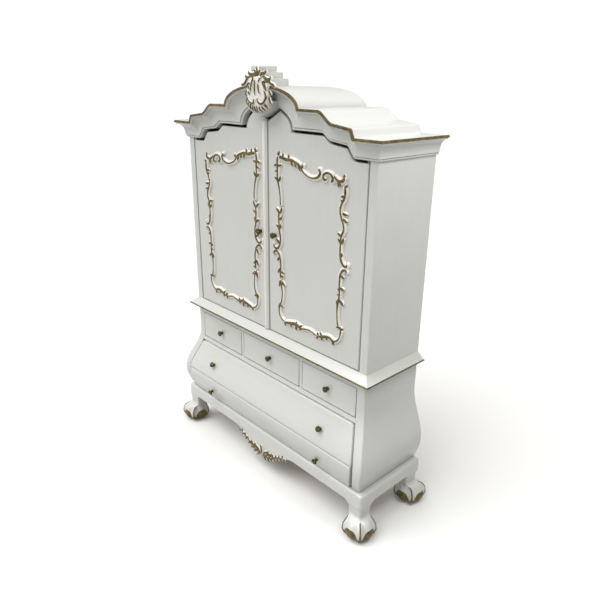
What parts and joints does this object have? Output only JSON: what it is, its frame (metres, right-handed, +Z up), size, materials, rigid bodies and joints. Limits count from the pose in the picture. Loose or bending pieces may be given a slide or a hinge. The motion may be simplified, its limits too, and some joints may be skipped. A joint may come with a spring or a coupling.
{
  "type": "armoire",
  "caption": "Arched armoire: pair of pivot-hung doors over a swelling chest of drawers, moulded serpentine cornice with a carved crest, on ball-and-claw feet.",
  "frame": {"origin": "centre of the outer box in plan, on the floor under the feet", "axes": "+Z up, doors and drawers face -Y, +X to the right when facing the doors"},
  "size_m": [1.682, 0.594, 2.268],
  "materials": {
    "white_paint": "softly glossy white oil paint over wood",
    "gilding": "dark antique gold paint over carved wood",
    "antique_brass": "antique brown-green patina, cast",
    "bare_wood": "plain planed softwood",
    "steel": "turned, bare"
  },
  "bodies": {
    "root": {"foot_front_left": "white_paint", "foot_front_right": "white_paint", "foot_back_left": "white_paint", "foot_back_right": "white_paint", "apron_front": "white_paint", "base_rail_left": "white_paint", "base_rail_right": "white_paint", "chest_side_left": "white_paint", "chest_side_right": "white_paint", "chest_top": "white_paint", "dust_board_upper": "white_paint", "divider_left": "white_paint", "divider_right": "white_paint", "waist_front": "white_paint", "waist_left": "white_paint", "waist_right": "white_paint", "upper_side_left": "white_paint", "upper_side_right": "white_paint", "cornice_front": "white_paint", "cornice_left": "white_paint", "cornice_right": "white_paint", "roof_shell": "white_paint", "crest_block": "white_paint", "chest_bottom": "bare_wood", "chest_back": "bare_wood", "dust_board_lower": "bare_wood", "upper_floor": "bare_wood", "upper_back": "bare_wood", "shelf_1": "bare_wood", "shelf_2": "bare_wood", "apron_ornament": "gilding", "crest_cartouche": "gilding"},
    "door_left": {"door_left_slab": "white_paint", "door_left_ornament": "gilding", "door_left_knob": "antique_brass", "door_left_astragal": "white_paint", "door_left_pin_top": "steel", "door_left_pin_bottom": "steel"},
    "door_right": {"door_right_slab": "white_paint", "door_right_ornament": "gilding", "door_right_knob": "antique_brass", "door_right_pin_top": "steel", "door_right_pin_bottom": "steel"},
    "drawer_small_left": {"drawer_small_left_front": "white_paint", "drawer_small_left_tray": "bare_wood", "knob_small_left": "antique_brass"},
    "drawer_small_middle": {"drawer_small_middle_front": "white_paint", "drawer_small_middle_tray": "bare_wood", "knob_small_middle": "antique_brass"},
    "drawer_small_right": {"drawer_small_right_front": "white_paint", "drawer_small_right_tray": "bare_wood", "knob_small_right": "antique_brass"},
    "drawer_upper": {"drawer_upper_front": "white_paint", "drawer_upper_tray": "bare_wood", "knob_upper_left": "antique_brass", "knob_upper_right": "antique_brass"},
    "drawer_lower": {"drawer_lower_front": "white_paint", "drawer_lower_tray": "bare_wood", "knob_lower_left": "antique_brass", "knob_lower_right": "antique_brass"}
  },
  "joints": [
    {"name": "door_left_hinge", "type": "hinge", "parent": "root", "child": "door_left", "pos_m": [-0.652, -0.161, 1.4], "axis": [0, 0, -1], "range_deg": [0, 110]},
    {"name": "door_right_hinge", "type": "hinge", "parent": "root", "child": "door_right", "pos_m": [0.652, -0.161, 1.4], "axis": [0, 0, 1], "range_deg": [0, 110]},
    {"name": "drawer_small_left_slide", "type": "slide", "parent": "root", "child": "drawer_small_left", "axis": [0, -1, 0], "range_m": [0, 0.28]},
    {"name": "drawer_small_middle_slide", "type": "slide", "parent": "root", "child": "drawer_small_middle", "axis": [0, -1, 0], "range_m": [0, 0.28]},
    {"name": "drawer_small_right_slide", "type": "slide", "parent": "root", "child": "drawer_small_right", "axis": [0, -1, 0], "range_m": [0, 0.28]},
    {"name": "drawer_upper_slide", "type": "slide", "parent": "root", "child": "drawer_upper", "axis": [0, -1, 0], "range_m": [0, 0.28]},
    {"name": "drawer_lower_slide", "type": "slide", "parent": "root", "child": "drawer_lower", "axis": [0, -1, 0], "range_m": [0, 0.28]}
  ]
}
